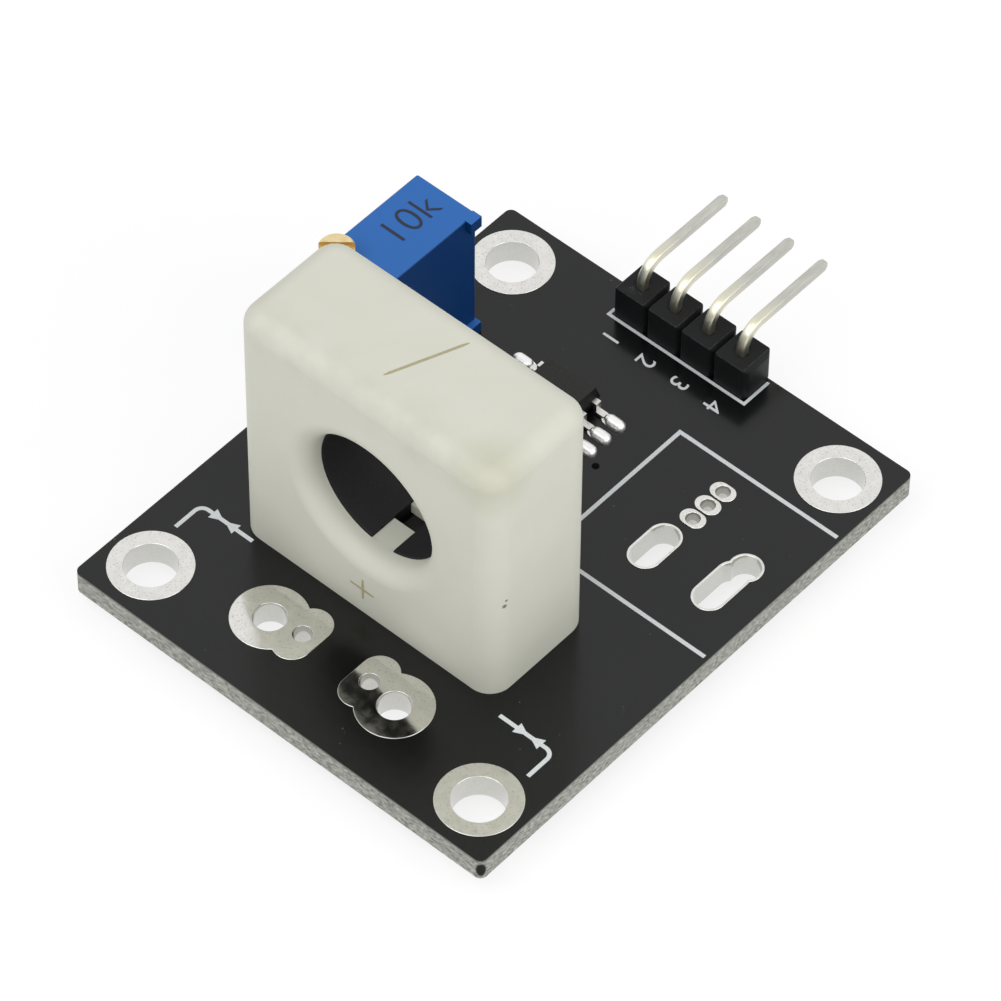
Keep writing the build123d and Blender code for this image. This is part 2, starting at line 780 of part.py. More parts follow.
def write_sensor():
    """The moulded sensor and what is inside it."""
    save("sensor_housing", sensor_housing())
    save("sensor_core", sensor_core())
    save("hall_chip", hall_chip())
    for number, (x, y) in enumerate(hall_lead_places(), 1):
        lead = hall_lead(x, y)
        save(f"hall_lead_{number}", lead)
        save(f"hall_solder_{number}", solder_joint(x, y, hall_hole_radius, hall_pad_radius, lead))


def write_trimmer():
    """The trimmer and its works."""
    save("trimmer_housing", trimmer_housing())
    save("trimmer_base", trimmer_base())
    save("trimmer_screw", trimmer_screw())
    save("trimmer_seal", trimmer_seal())
    save("trimmer_rotor", trimmer_rotor())
    save("trimmer_wiper", trimmer_wiper())
    save("trimmer_element", trimmer_element())
    for number, (x, y) in enumerate(trimmer_pin_places(), 1):
        pin = trimmer_pin(x, y)
        save(f"trimmer_pin_{number}", pin)
        joint = solder_joint(x, y, trimmer_hole_radius, trimmer_pad_radius, pin)
        save(f"trimmer_solder_{number}", joint)


def write_header():
    """The plastic strip, its pins and their solder."""
    save("header_housing", header_housing())
    for number, (x, y) in enumerate(header_pin_places(), 1):
        pin = header_pin(x, y)
        save(f"header_pin_{number}", pin)
        save(f"header_solder_{number}", solder_joint(x, y, header_hole_radius, header_pad_radius, pin))


def write_chips():
    """The comparator and the small chips behind the sensor."""
    leads = [comparator_lead(side, index) for side in (-1, 1) for index in range(leads_per_side)]
    save("comparator_body", comparator_body(leads))
    for number, lead in enumerate(leads, 1):
        save(f"comparator_lead_{number}", lead)
    save("comparator_solder", comparator_solder())
    parts = [("resistor_1", small_chip_place(0, 0), resistor_height),
             ("resistor_2", small_chip_place(0, 1), resistor_height),
             ("capacitor_1", small_chip_place(1, 0), capacitor_height),
             ("capacitor_2", small_chip_place(1, 1), capacitor_height),
             ("indicator_led", small_chip_place(2, 0), led_height)]
    for name, place, height in parts:
        save(name, small_chip(place, height))
    save("chip_solder", small_chip_solder([place for name, place, height in parts]))


write_board()
write_sensor()
write_trimmer()
write_header()
write_chips()
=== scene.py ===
from math import cos, radians, sin

import bpy
from mathutils import Matrix, Vector


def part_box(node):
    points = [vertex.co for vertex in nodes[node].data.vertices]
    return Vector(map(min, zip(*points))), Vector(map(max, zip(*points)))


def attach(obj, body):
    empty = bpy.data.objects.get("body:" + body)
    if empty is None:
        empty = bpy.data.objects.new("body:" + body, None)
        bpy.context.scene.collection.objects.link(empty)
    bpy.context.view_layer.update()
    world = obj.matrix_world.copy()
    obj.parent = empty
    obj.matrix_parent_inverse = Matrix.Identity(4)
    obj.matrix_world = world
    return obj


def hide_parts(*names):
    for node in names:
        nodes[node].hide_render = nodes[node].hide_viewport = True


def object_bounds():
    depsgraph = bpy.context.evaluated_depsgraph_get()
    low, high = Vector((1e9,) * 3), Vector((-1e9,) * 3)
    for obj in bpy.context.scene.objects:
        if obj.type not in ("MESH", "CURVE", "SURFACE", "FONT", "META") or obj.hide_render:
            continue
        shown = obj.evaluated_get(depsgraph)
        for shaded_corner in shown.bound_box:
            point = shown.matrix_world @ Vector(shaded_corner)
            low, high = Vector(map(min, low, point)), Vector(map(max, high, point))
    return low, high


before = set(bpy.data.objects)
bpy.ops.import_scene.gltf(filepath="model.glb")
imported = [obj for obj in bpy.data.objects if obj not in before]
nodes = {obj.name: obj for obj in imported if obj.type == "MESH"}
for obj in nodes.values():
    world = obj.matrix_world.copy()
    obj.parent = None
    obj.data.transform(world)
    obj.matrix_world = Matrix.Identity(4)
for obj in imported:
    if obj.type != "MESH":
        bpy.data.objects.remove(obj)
cad_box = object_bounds()
mm = 0.001


# Circuit board
# Woven glass and epoxy laminate, 1.6 mm thick, with satin black solder mask on both faces.
# It is sheared out of a larger panel, which leaves raw, mottled grey edges.

def linear(code):
    """Linear colour of an sRGB hex code."""
    parts = [int(code[i:i + 2], 16) / 255 for i in (0, 2, 4)]
    return (*[c / 12.92 if c <= 0.04045 else ((c + 0.055) / 1.055) ** 2.4 for c in parts], 1)


def add(tree, kind, inputs=None, **settings):
    """One node with its settings, its values and the sockets linked into it."""
    node = tree.nodes.new(kind)
    for name, value in settings.items():
        setattr(node, name, value)
    for name, value in (inputs or {}).items():
        if isinstance(value, bpy.types.NodeSocket):
            tree.links.new(value, node.inputs[name])
        else:
            node.inputs[name].default_value = value
    return node


def finish_of(name, **values):
    """A new material, its node tree, its shader and its Object coordinates."""
    made = bpy.data.materials.new(name)
    made.use_nodes = True
    tree = made.node_tree
    shader = tree.nodes["Principled BSDF"]
    for key, value in values.items():
        shader.inputs[key.replace("_", " ")].default_value = value
    return made, tree, shader, add(tree, "ShaderNodeTexCoord").outputs["Object"]


def how_level(tree):
    """How far a surface faces up: 1 on a top, 0 on a side and -1 underneath."""
    facing = add(tree, "ShaderNodeNewGeometry").outputs["Normal"]
    return add(tree, "ShaderNodeSeparateXYZ", {0: facing}).outputs["Z"]


def dress(material, *names):
    """Give CAD nodes their finish."""
    for name in names:
        nodes[name].data.materials.clear()
        nodes[name].data.materials.append(material)


# Satin solder mask: smooth and dull black, so it shows a soft grey sheen and, very faintly, the
# weave of the glass cloth under it, with a few specks of dust.
solder_mask, tree, shader, place = finish_of("satin_solder_mask", IOR=1.42)
thread_pitch = 0.5 * mm
band_repeat = 0.31  # metres between the bands of a wave texture at scale 1
cloth = []
for direction in ("X", "Y"):
    threads = add(tree, "ShaderNodeTexWave",
                  {"Vector": place, "Scale": band_repeat / (2 * thread_pitch), "Distortion": 0.4,
                   "Detail": 1.0}, bands_direction=direction)
    cloth.append(threads.outputs["Fac"])
weave = add(tree, "ShaderNodeMath", {0: cloth[0], 1: cloth[1]}, operation="MULTIPLY").outputs[0]
grit_size, cloud_size, lint_size = 0.12 * mm, 5 * mm, 0.45 * mm
grit = add(tree, "ShaderNodeTexNoise",
           {"Vector": place, "Scale": 1 / grit_size, "Detail": 3.0}).outputs["Fac"]
cloud = add(tree, "ShaderNodeTexNoise",
            {"Vector": place, "Scale": 1 / cloud_size, "Detail": 2.0}).outputs["Fac"]
mask_colour = add(tree, "ShaderNodeMix", {0: cloud, 6: linear("090A0A"), 7: linear("111312")},
                  data_type="RGBA").outputs[2]
lint = add(tree, "ShaderNodeTexNoise",
           {"Vector": place, "Scale": 1 / lint_size, "Detail": 4.0}).outputs["Fac"]
lint = add(tree, "ShaderNodeMapRange", {"Value": lint, "From Min": 0.73, "From Max": 0.80,
                                        "To Max": 0.6}).outputs[0]
mask_colour = add(tree, "ShaderNodeMix", {0: lint, 6: mask_colour, 7: linear("6A6C69")},
                  data_type="RGBA").outputs[2]

# Cut ends of the glass cloth: grey, finely mottled along the edge, with an olive lip of torn mask
# at the top and the dark spot of a drill's touch at the front right corner.
glass_end_size = 0.2 * mm
lip_starts, lip_full, lip_wander = 1.66 * mm, 1.84 * mm, 0.5 * mm
drill_touch = (15.42 * mm, -18.62 * mm, 0.75 * mm)
touch_core, touch_rim = 0.28 * mm, 0.4 * mm
stretched = add(tree, "ShaderNodeMapping",
                {"Vector": place, "Scale": (0.7, 0.7, 1.7)}).outputs["Vector"]
glass_ends = add(tree, "ShaderNodeTexNoise", {"Vector": stretched, "Scale": 1 / glass_end_size,
                                              "Detail": 6.0, "Roughness": 0.72}).outputs["Fac"]
edge_colour = add(tree, "ShaderNodeValToRGB", {"Fac": glass_ends})
for stop, position, shade in zip(edge_colour.color_ramp.elements, (0.36, 0.66),
                                 ("6E6F66", "DCDDD6")):
    stop.position = position
    stop.color = linear(shade)
height = add(tree, "ShaderNodeSeparateXYZ", {0: place}).outputs["Z"]
torn = add(tree, "ShaderNodeMath", {0: glass_ends, 1: lip_wander, 2: height},
           operation="MULTIPLY_ADD").outputs[0]
lip = add(tree, "ShaderNodeMapRange", {"Value": torn, "From Min": lip_starts, "From Max": lip_full,
                                       "To Max": 0.85}).outputs[0]
raw_edge = add(tree, "ShaderNodeMix", {0: lip, 6: edge_colour.outputs["Color"],
                                       7: linear("33322A")}, data_type="RGBA").outputs[2]
from_touch = add(tree, "ShaderNodeVectorMath", {0: place, 1: drill_touch},
                 operation="SUBTRACT").outputs["Vector"]
from_touch = add(tree, "ShaderNodeVectorMath", {0: from_touch, 1: (1, 1, 0.6)},
                 operation="MULTIPLY").outputs["Vector"]
from_touch = add(tree, "ShaderNodeVectorMath", {0: from_touch}, operation="LENGTH").outputs["Value"]
touched = add(tree, "ShaderNodeMapRange",
              {"Value": from_touch, "From Min": touch_core, "From Max": touch_rim,
               "To Min": 1.0, "To Max": 0.0}).outputs[0]
raw_edge = add(tree, "ShaderNodeMix", {0: touched, 6: raw_edge, 7: linear("17110F")},
               data_type="RGBA").outputs[2]
flat_face = add(tree, "ShaderNodeMath", {0: how_level(tree)}, operation="ABSOLUTE").outputs[0]
is_edge = add(tree, "ShaderNodeMath", {0: flat_face, 1: 0.5}, operation="LESS_THAN").outputs[0]
board_colour = add(tree, "ShaderNodeMix", {0: is_edge, 6: mask_colour, 7: raw_edge},
                   data_type="RGBA").outputs[2]
tree.links.new(board_colour, shader.inputs["Base Color"])
satin = add(tree, "ShaderNodeMix", {0: grit, 2: 0.19, 3: 0.23}).outputs[0]
tree.links.new(add(tree, "ShaderNodeMix", {0: is_edge, 2: satin, 3: 0.9}).outputs[0],
               shader.inputs["Roughness"])
relief = add(tree, "ShaderNodeBump", {"Height": weave, "Distance": 0.004 * mm, "Strength": 0.4})
rough = add(tree, "ShaderNodeMath", {0: glass_ends, 1: is_edge}, operation="MULTIPLY").outputs[0]
relief = add(tree, "ShaderNodeBump", {"Height": rough, "Distance": 0.1 * mm,
                                      "Normal": relief.outputs["Normal"]})
tree.links.new(relief.outputs["Normal"], shader.inputs["Normal"])
dress(solder_mask, "circuit_board")


# Plated rings, wire pads and spare openings
# Copper lands and barrels, levelled with hot air in molten tin, which leaves a bright, thin skin
# that is rounded off at every rim.

sharp_angle = radians(35)
same_point = 1e-7
same_plane = radians(0.5)


def smooth_but_level(piece):
    """Smooth shading on rounded edges, which leaves the flat faces beside them flat."""
    bpy.ops.object.shade_smooth_by_angle(angle=sharp_angle)
    piece.modifiers.new("level_faces", "WEIGHTED_NORMAL").keep_sharp = True
    bpy.ops.object.modifier_apply(modifier="level_faces")


def copy_with_soft_edges(node, piece_name, width, segments=2):
    """A merged copy of a CAD node whose sharp edges are rounded off."""
    piece = bpy.data.objects.new(piece_name, nodes[node].data.copy())
    bpy.context.scene.collection.objects.link(piece)
    bpy.ops.object.select_all(action="DESELECT")
    bpy.context.view_layer.objects.active = piece
    piece.select_set(True)
    bpy.ops.object.mode_set(mode="EDIT")
    bpy.ops.mesh.select_all(action="SELECT")
    bpy.ops.mesh.remove_doubles(threshold=same_point)
    bpy.ops.mesh.dissolve_limited(angle_limit=same_plane)
    bpy.ops.object.mode_set(mode="OBJECT")
    rounding = piece.modifiers.new("rounding", "BEVEL")
    rounding.width = width
    rounding.segments = segments
    rounding.limit_method = "ANGLE"
    rounding.angle_limit = sharp_angle
    bpy.ops.object.modifier_apply(modifier="rounding")
    smooth_but_level(piece)
    piece.data.materials.clear()
    return piece


def settle(piece, material, slot, *replaced):
    """The last calls for a new piece: finish, body and what it stands for; the slot is not used."""
    piece.data.materials.append(material)
    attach(piece, "module")
    if replaced:
        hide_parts(*replaced)


# Hot-air levelled tin: a slightly frosted mirror, barely wavy, with fine dark freckles. Its colour
# is painted darker down the barrels and the sides of the plating, as painted shade, and brighter on
# the rims, as a painted highlight.
tin, tree, shader, place = finish_of("hot_air_levelled_tin", Metallic=1.0)
wave_size, frost_size, freckle_size = 1.6 * mm, 0.5 * mm, 0.13 * mm
wave = add(tree, "ShaderNodeTexNoise",
           {"Vector": place, "Scale": 1 / wave_size, "Detail": 1.0}).outputs["Fac"]
frost = add(tree, "ShaderNodeTexNoise",
            {"Vector": place, "Scale": 1 / frost_size, "Detail": 4.0}).outputs["Fac"]
freckles = add(tree, "ShaderNodeTexNoise",
               {"Vector": place, "Scale": 1 / freckle_size, "Detail": 2.0}).outputs["Fac"]
freckles = add(tree, "ShaderNodeMapRange", {"Value": freckles, "From Min": 0.56, "From Max": 0.74,
                                            "To Max": 0.5}).outputs[0]
skin = add(tree, "ShaderNodeMix", {0: frost, 6: linear("D2D1CD"), 7: linear("ECEBE7")},
           data_type="RGBA").outputs[2]
skin = add(tree, "ShaderNodeMix", {0: freckles, 6: skin, 7: linear("A3A29A")},
           data_type="RGBA").outputs[2]
flat_face = add(tree, "ShaderNodeMath", {0: how_level(tree)}, operation="ABSOLUTE").outputs[0]
# Painted shade: the colour is darker down the barrels and on the sides of the plating.
painted_barrel_shade = add(tree, "ShaderNodeMapRange", {"Value": flat_face, "From Min": 0.1, "From Max": 0.3,
                                             "To Min": 0.7, "To Max": 0.0}).outputs[0]
skin = add(tree, "ShaderNodeMix", {0: painted_barrel_shade, 6: skin, 7: linear("C6C6C1")},
           data_type="RGBA").outputs[2]
rim_lean, lean_either_way = 0.6, 0.35
# Painted highlight: the colour is brighter on the rounded rims.
painted_rim_highlight = add(tree, "ShaderNodeMath", {0: flat_face, 1: rim_lean, 2: lean_either_way},
             operation="COMPARE").outputs[0]
skin = add(tree, "ShaderNodeMix", {0: painted_rim_highlight, 6: skin, 7: linear("EFEFEB")},
           data_type="RGBA").outputs[2]
tree.links.new(skin, shader.inputs["Base Color"])
tree.links.new(add(tree, "ShaderNodeMapRange", {"Value": frost, "From Min": 0.35, "From Max": 0.65,
                                                "To Min": 0.09, "To Max": 0.16}).outputs[0],
               shader.inputs["Roughness"])
relief = add(tree, "ShaderNodeBump", {"Height": wave, "Distance": 0.014 * mm, "Strength": 0.5})
relief = add(tree, "ShaderNodeBump", {"Height": frost, "Distance": 0.002 * mm,
                                      "Normal": relief.outputs["Normal"]})

# The hot air leaves the tin on the two wire pads thicker along their front edges, so they slope a
# few degrees towards the sensor block.
pads_front, pads_back, pads_side = -15 * mm, -12 * mm, 8.5 * mm
axes = add(tree, "ShaderNodeSeparateXYZ", {0: place}).outputs
from_front = add(tree, "ShaderNodeMapRange", {"Value": axes["Y"], "From Min": pads_front,
                                              "From Max": pads_back, "To Max": 3.0}).outputs[0]
slope = add(tree, "ShaderNodeMath", {0: from_front, 1: 2.0}, operation="POWER").outputs[0]
sideways = add(tree, "ShaderNodeMath", {0: axes["X"]}, operation="ABSOLUTE").outputs[0]
on_pads = add(tree, "ShaderNodeMath", {0: sideways, 1: pads_side}, operation="LESS_THAN").outputs[0]
slope = add(tree, "ShaderNodeMath", {0: slope, 1: on_pads}, operation="MULTIPLY").outputs[0]
relief = add(tree, "ShaderNodeBump", {"Height": slope, "Distance": 0.03 * mm,
                                      "Normal": relief.outputs["Normal"]}, invert=True)
tree.links.new(relief.outputs["Normal"], shader.inputs["Normal"])
rim_radius = 0.045 * mm
for name in [name for name in nodes if name.startswith(("mounting_ring_", "board_pad_", "spare_"))]:
    plated = copy_with_soft_edges(name, "plated_" + name, rim_radius, segments=3)
    settle(plated, tin, "tin_plating", name)


# Board print
# White epoxy ink, screened on the mask: outlines, current arrows and the numbers of the pins.
# It is matt, and finely speckled where the mesh of the screen left it thin.

# The grain of printed and moulded finishes is finer than the render shows, so it is drawn this
# coarse.
fine_grain = 0.1 * mm


def mottle(tree, shader, place, patch, dark, light, detail=2.0):
    """Let a finish wander between two shades, in patches of one size, and return the pattern."""
    patches = add(tree, "ShaderNodeTexNoise",
                  {"Vector": place, "Scale": 1 / patch, "Detail": detail}).outputs["Fac"]
    shade = add(tree, "ShaderNodeMix", {0: patches, 6: linear(dark), 7: linear(light)},
                data_type="RGBA").outputs[2]
    tree.links.new(shade, shader.inputs["Base Color"])
    return patches


white_ink, tree, shader, place = finish_of("white_screen_ink", Roughness=0.6, IOR=1.45)
mottle(tree, shader, place, fine_grain, "C3C8CB", "EEF1F2", detail=3.0)
dress(white_ink, "board_print")

capital_share = 0.73  # how much of the lettering's size its capitals take


def lettering(piece_name, words, height, place_at, turn, thickness, slimmer=0):
    """Flat raised lettering whose capitals are height tall, centred on place_at."""
    bpy.ops.object.select_all(action="DESELECT")
    bpy.ops.object.text_add(location=place_at, rotation=turn)
    text = bpy.context.object
    text.name = piece_name
    text.data.body = words
    text.data.size = height / capital_share
    text.data.extrude = thickness / 2
    text.data.offset = -slimmer
    text.data.align_x = "CENTER"
    text.data.align_y = "CENTER"
    bpy.ops.object.convert(target="MESH")
    bpy.ops.object.transform_apply(location=True, rotation=True, scale=True)
    return bpy.context.object


board_top = 1.6 * mm
ink = 0.02 * mm
digit_height, digit_row = 1.25 * mm, 14.9 * mm
digit_places = (-4.35 * mm, -1.65 * mm, 0.90 * mm, 3.50 * mm)
for number, x in enumerate(digit_places, 1):
    digit = lettering(f"pin_number_{number}", str(number), digit_height,
                      (x, digit_row, board_top + ink / 2), (0, 0, radians(-90)), ink)
    settle(digit, white_ink, "print_white")


# Sensor block
# One ivory moulding in glass-filled polyester, matt from the tool, that holds the core and the
# sensing chip. It has painted shade along its front top edge and at its front right top corner,
# and it is chipped on its right side.

# Matt moulded polyester: a warm grey white, cloudy where the melt flowed, with the fine grain of
# the tool. A painted shade greys it in blotches near the front top edge, and a painted yellowish
# shade darkens the front right top corner.
ivory, tree, shader, place = finish_of("matt_moulded_polyester", Roughness=0.55, IOR=1.5)
block_low, block_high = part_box("sensor_housing")
tool_grain_size, flow_size, shade_blotch_size = 0.12 * mm, 4 * mm, 1.6 * mm
tool_grain = add(tree, "ShaderNodeTexNoise",
                 {"Vector": place, "Scale": 1 / tool_grain_size, "Detail": 2.0}).outputs["Fac"]
flow = add(tree, "ShaderNodeTexNoise",
           {"Vector": place, "Scale": 1 / flow_size, "Detail": 3.0}).outputs["Fac"]
ivory_colour = add(tree, "ShaderNodeMix", {0: flow, 6: linear("D8D9CA"), 7: linear("E1E1D4")},
                   data_type="RGBA").outputs[2]
from_edge = add(tree, "ShaderNodeVectorMath", {0: place, 1: (0, block_low.y, block_high.z)},
                operation="SUBTRACT").outputs["Vector"]
from_edge = add(tree, "ShaderNodeVectorMath", {0: from_edge, 1: (0, 1, 1)},
                operation="MULTIPLY").outputs["Vector"]
from_edge = add(tree, "ShaderNodeVectorMath", {0: from_edge}, operation="LENGTH").outputs["Value"]
# Painted shade: grey blotches near the front top edge.
edge_shade_reach = add(tree, "ShaderNodeMapRange",
                {"Value": from_edge, "From Min": 0.4 * mm, "From Max": 3.0 * mm,
                 "To Min": 1.0, "To Max": 0.0}).outputs[0]
shade_blotches = add(tree, "ShaderNodeTexNoise",
             {"Vector": place, "Scale": 1 / shade_blotch_size, "Detail": 3.0}).outputs["Fac"]
shade_blotches = add(tree, "ShaderNodeMapRange", {"Value": shade_blotches, "From Min": 0.35, "From Max": 0.75,
                                          "To Max": 0.2}).outputs[0]
painted_edge_shade = add(tree, "ShaderNodeMath", {0: shade_blotches, 1: edge_shade_reach}, operation="MULTIPLY").outputs[0]
ivory_colour = add(tree, "ShaderNodeMix", {0: painted_edge_shade, 6: ivory_colour, 7: linear("A8A897")},
                   data_type="RGBA").outputs[2]
# Painted shade: a yellowish darkening of the colour at the front right top corner.
shaded_corner = (block_high.x - 0.8 * mm, block_low.y + 0.9 * mm, block_high.z - 0.6 * mm)
from_corner = add(tree, "ShaderNodeVectorMath", {0: place, 1: shaded_corner},
                  operation="DISTANCE").outputs["Value"]
painted_corner_shade = add(tree, "ShaderNodeMapRange",
               {"Value": from_corner, "From Min": 0.5 * mm, "From Max": 3.2 * mm,
                "To Min": 0.5, "To Max": 0.0}).outputs[0]
ivory_colour = add(tree, "ShaderNodeMix", {0: painted_corner_shade, 6: ivory_colour, 7: linear("C6C3A8")},
                   data_type="RGBA").outputs[2]

# The two chips lie on the rounded front right edge. Each row is a chip's middle and its radius, in
# millimetres.
for x, y, z, radius in ((8.464, -8.754, 9.57, 0.09), (8.433, -8.873, 9.15, 0.14)):
    from_chip = add(tree, "ShaderNodeVectorMath", {0: place, 1: (x * mm, y * mm, z * mm)},
                    operation="DISTANCE").outputs["Value"]
    chipped = add(tree, "ShaderNodeMapRange",
                  {"Value": from_chip, "From Min": 0.6 * radius * mm, "From Max": 1.4 * radius * mm,
                   "To Min": 0.85, "To Max": 0.0}).outputs[0]
    ivory_colour = add(tree, "ShaderNodeMix", {0: chipped, 6: ivory_colour, 7: linear("4E4B41")},
                       data_type="RGBA").outputs[2]
tree.links.new(ivory_colour, shader.inputs["Base Color"])
relief = add(tree, "ShaderNodeBump", {"Height": tool_grain, "Distance": 0.004 * mm})
relief = add(tree, "ShaderNodeBump", {"Height": flow, "Distance": 0.12 * mm, "Strength": 0.4,
                                      "Normal": relief.outputs["Normal"]})
tree.links.new(relief.outputs["Normal"], shader.inputs["Normal"])
dress(ivory, "sensor_housing")


# Laser marks on the sensor block
# A laser has browned a plus sign under the bore, for the way the current goes, and a hairline
# across the top. Both are dull and unevenly charred.

def pick_faces(piece, test):
    """Select the faces whose centre and normal pass a test, and open edit mode on them."""
    bpy.ops.object.mode_set(mode="EDIT")
    bpy.ops.mesh.select_mode(type="FACE")
    bpy.ops.mesh.select_all(action="DESELECT")
    bpy.ops.object.mode_set(mode="OBJECT")
    for face in piece.data.polygons:
        face.select = test(face.center, face.normal)
    bpy.ops.object.mode_set(mode="EDIT")


def small_block(piece_name, size, place_at, turn=(0, 0, 0)):
    """A block at its size and place, ready for edit mode."""
    bpy.ops.object.select_all(action="DESELECT")
    bpy.ops.mesh.primitive_cube_add(size=1, location=place_at, rotation=turn)
    piece = bpy.context.object
    piece.name = piece_name
    piece.scale = size
    bpy.ops.object.transform_apply(location=True, rotation=True, scale=True)
    return piece


def pull_out(way, distance, narrowed):
    """Extrude the picked face and taper its new end."""
    bpy.ops.mesh.extrude_region_move(TRANSFORM_OT_translate={"value": way * distance})
    bpy.ops.transform.resize(value=narrowed)
    bpy.ops.object.mode_set(mode="OBJECT")


scorch, tree, shader, place = finish_of("laser_browned_polyester", Roughness=0.7)
char_size = 0.15 * mm
mottle(tree, shader, place, char_size, "A0956F", "C2BB9C", detail=3.0)

stroke = 0.21 * mm
plus_height = 2.0 * mm
crossing = Vector((-1.25 * mm, block_low.y - ink / 4, board_top + plus_height))
plus = small_block("plus_mark", (stroke, ink, stroke), crossing)
arms = (((-1, 0, 0), 0.95 * mm), ((1, 0, 0), 0.85 * mm),
        ((0, 0, 1), 0.85 * mm), ((0, 0, -1), 0.8 * mm))
for way, reach in arms:
    way = Vector(way)
    pick_faces(plus, lambda centre, normal: (normal.dot(way) > 0.9
                                             and (centre - crossing).length < stroke))
    pull_out(way, reach - stroke / 2, (0.6, 1, 0.6))
settle(plus, scorch, "ivory_moulding")

hairline_width, tip_length = 0.19 * mm, 0.4 * mm
hairline_run = Vector((1.95 * mm, 4.86 * mm, 0))
hairline_middle = (-0.42 * mm, -5.42 * mm, block_high.z - 0.3 * ink)
hairline = small_block("top_hairline", (hairline_width, hairline_run.length - 2 * tip_length, ink),
                       hairline_middle, (0, 0, hairline_run.to_2d().angle_signed((0, 1))))
for side in (-1, 1):
    way = hairline_run.normalized() * side
    pick_faces(hairline, lambda centre, normal: normal.dot(way) > 0.9)
    pull_out(way, tip_length, (0.4, 0.4, 1))
settle(hairline, scorch, "ivory_moulding")


# Sensor core and chip
# A sintered ferrite ring, with the sensing chip in its gap, moulded in black epoxy. Both sit in
# pockets of the block.

# Sintered ferrite: dull charcoal, slightly grainy.
ferrite, tree, shader, place = finish_of("sintered_ferrite", Roughness=0.65, IOR=1.42)
sinter_grain = 0.08 * mm
grain = add(tree, "ShaderNodeTexVoronoi",
            {"Vector": place, "Scale": 1 / sinter_grain}).outputs["Distance"]
tree.links.new(add(tree, "ShaderNodeMix", {0: grain, 6: linear("101111"), 7: linear("1C1E1D")},
                   data_type="RGBA").outputs[2], shader.inputs["Base Color"])
tree.links.new(add(tree, "ShaderNodeBump", {"Height": grain, "Distance": 0.005 * mm})
               .outputs["Normal"], shader.inputs["Normal"])
dress(ferrite, "sensor_core")

# Moulding epoxy: nearly black, with pale grains of its filler. Its top is painted greyer and its
# sides darker by the way they face, as painted light and shade.
epoxy, tree, shader, place = finish_of("black_moulding_epoxy", Roughness=0.5, IOR=1.5,
                                       Specular_IOR_Level=0.2)
filler_size = 0.12 * mm
filler = add(tree, "ShaderNodeTexNoise",
             {"Vector": place, "Scale": 1 / filler_size, "Detail": 3.0}).outputs["Fac"]
# Painted light and shade: the top is greyer and the sides darker by the way they face.
epoxy_painted_top_light = add(tree, "ShaderNodeMapRange", {"Value": how_level(tree), "From Min": 0.6,
                                           "From Max": 0.95}).outputs[0]
epoxy_shaded_sides = add(tree, "ShaderNodeMix", {0: filler, 6: linear("0C0C0B"), 7: linear("191918")},
                  data_type="RGBA").outputs[2]
epoxy_lit_top = add(tree, "ShaderNodeMix", {0: filler, 6: linear("1E1E1D"), 7: linear("353532")},
                 data_type="RGBA").outputs[2]
tree.links.new(add(tree, "ShaderNodeMix", {0: epoxy_painted_top_light, 6: epoxy_shaded_sides, 7: epoxy_lit_top},
                   data_type="RGBA").outputs[2], shader.inputs["Base Color"])
tree.links.new(add(tree, "ShaderNodeBump", {"Height": filler, "Distance": 0.004 * mm})
               .outputs["Normal"], shader.inputs["Normal"])
dress(epoxy, "hall_chip")


# Trimmer
# A blue moulded case, cast full of resin from below, with a brass screw that turns the works: a
# toothed nylon rotor, whose bronze wiper runs on a ceramic element.

# Blue moulded polyester: its top is painted paler and its sides a deeper blue by the way they face,
# as painted light and shade.
blue, tree, shader, place = finish_of("blue_moulded_polyester", Roughness=0.42, IOR=1.45,
                                      Specular_IOR_Level=0.3)
# Painted light and shade: the top is paler and the sides deeper blue by the way they face.
blue_painted_top_light = add(tree, "ShaderNodeMapRange", {"Value": how_level(tree), "From Min": 0.3,
                                           "From Max": 0.9}).outputs[0]
blue_with_painted_light = add(tree, "ShaderNodeMix", {0: blue_painted_top_light, 6: linear("06376F"), 7: linear("316DBA")},
              data_type="RGBA").outputs[2]
tree.links.new(blue_with_painted_light, shader.inputs["Base Color"])
tool_marks = add(tree, "ShaderNodeTexNoise",
                 {"Vector": place, "Scale": 1 / fine_grain, "Detail": 2.0}).outputs["Fac"]
tree.links.new(add(tree, "ShaderNodeBump", {"Height": tool_marks, "Distance": 0.003 * mm})
               .outputs["Normal"], shader.inputs["Normal"])
dress(blue, "trimmer_housing")

# Pad-printed ink: so dark a blue that it looks almost black on the case.
blue_print, tree, shader, place = finish_of("dark_blue_pad_print", Roughness=0.5)
mottle(tree, shader, place, fine_grain, "070E20", "0F1A34")
trimmer_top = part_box("trimmer_housing")[1].z
value_height, thinned = 2.0 * mm, 0.035 * mm
value_middle = (-13.15 * mm, 7.25 * mm, trimmer_top + ink / 2)
value = lettering("trimmer_value", "10k", value_height, value_middle, (0, 0, radians(90)), ink,
                  slimmer=thinned)
settle(value, blue_print, "blue_moulding")

# Turned brass: pale gold, with paler and duller patches.
brass, tree, shader, place = finish_of("turned_brass", Metallic=1.0)
tarnish = mottle(tree, shader, place, 0.4 * mm, "D4B878", "F2E4BC", detail=3.0)
tree.links.new(add(tree, "ShaderNodeMapRange", {"Value": tarnish, "To Min": 0.22, "To Max": 0.4})
               .outputs[0], shader.inputs["Roughness"])
dress(brass, "trimmer_screw")

# Cast resin: dark grey and half gloss, as it set.
resin, tree, shader, place = finish_of("cast_grey_resin", Roughness=0.45)
mottle(tree, shader, place, 0.5 * mm, "30353A", "454B52")
dress(resin, "trimmer_base")

# Moulded rubber: matt black.
rubber, tree, shader, place = finish_of("moulded_rubber", Roughness=0.8)
mottle(tree, shader, place, fine_grain, "131313", "222222")
dress(rubber, "trimmer_seal")

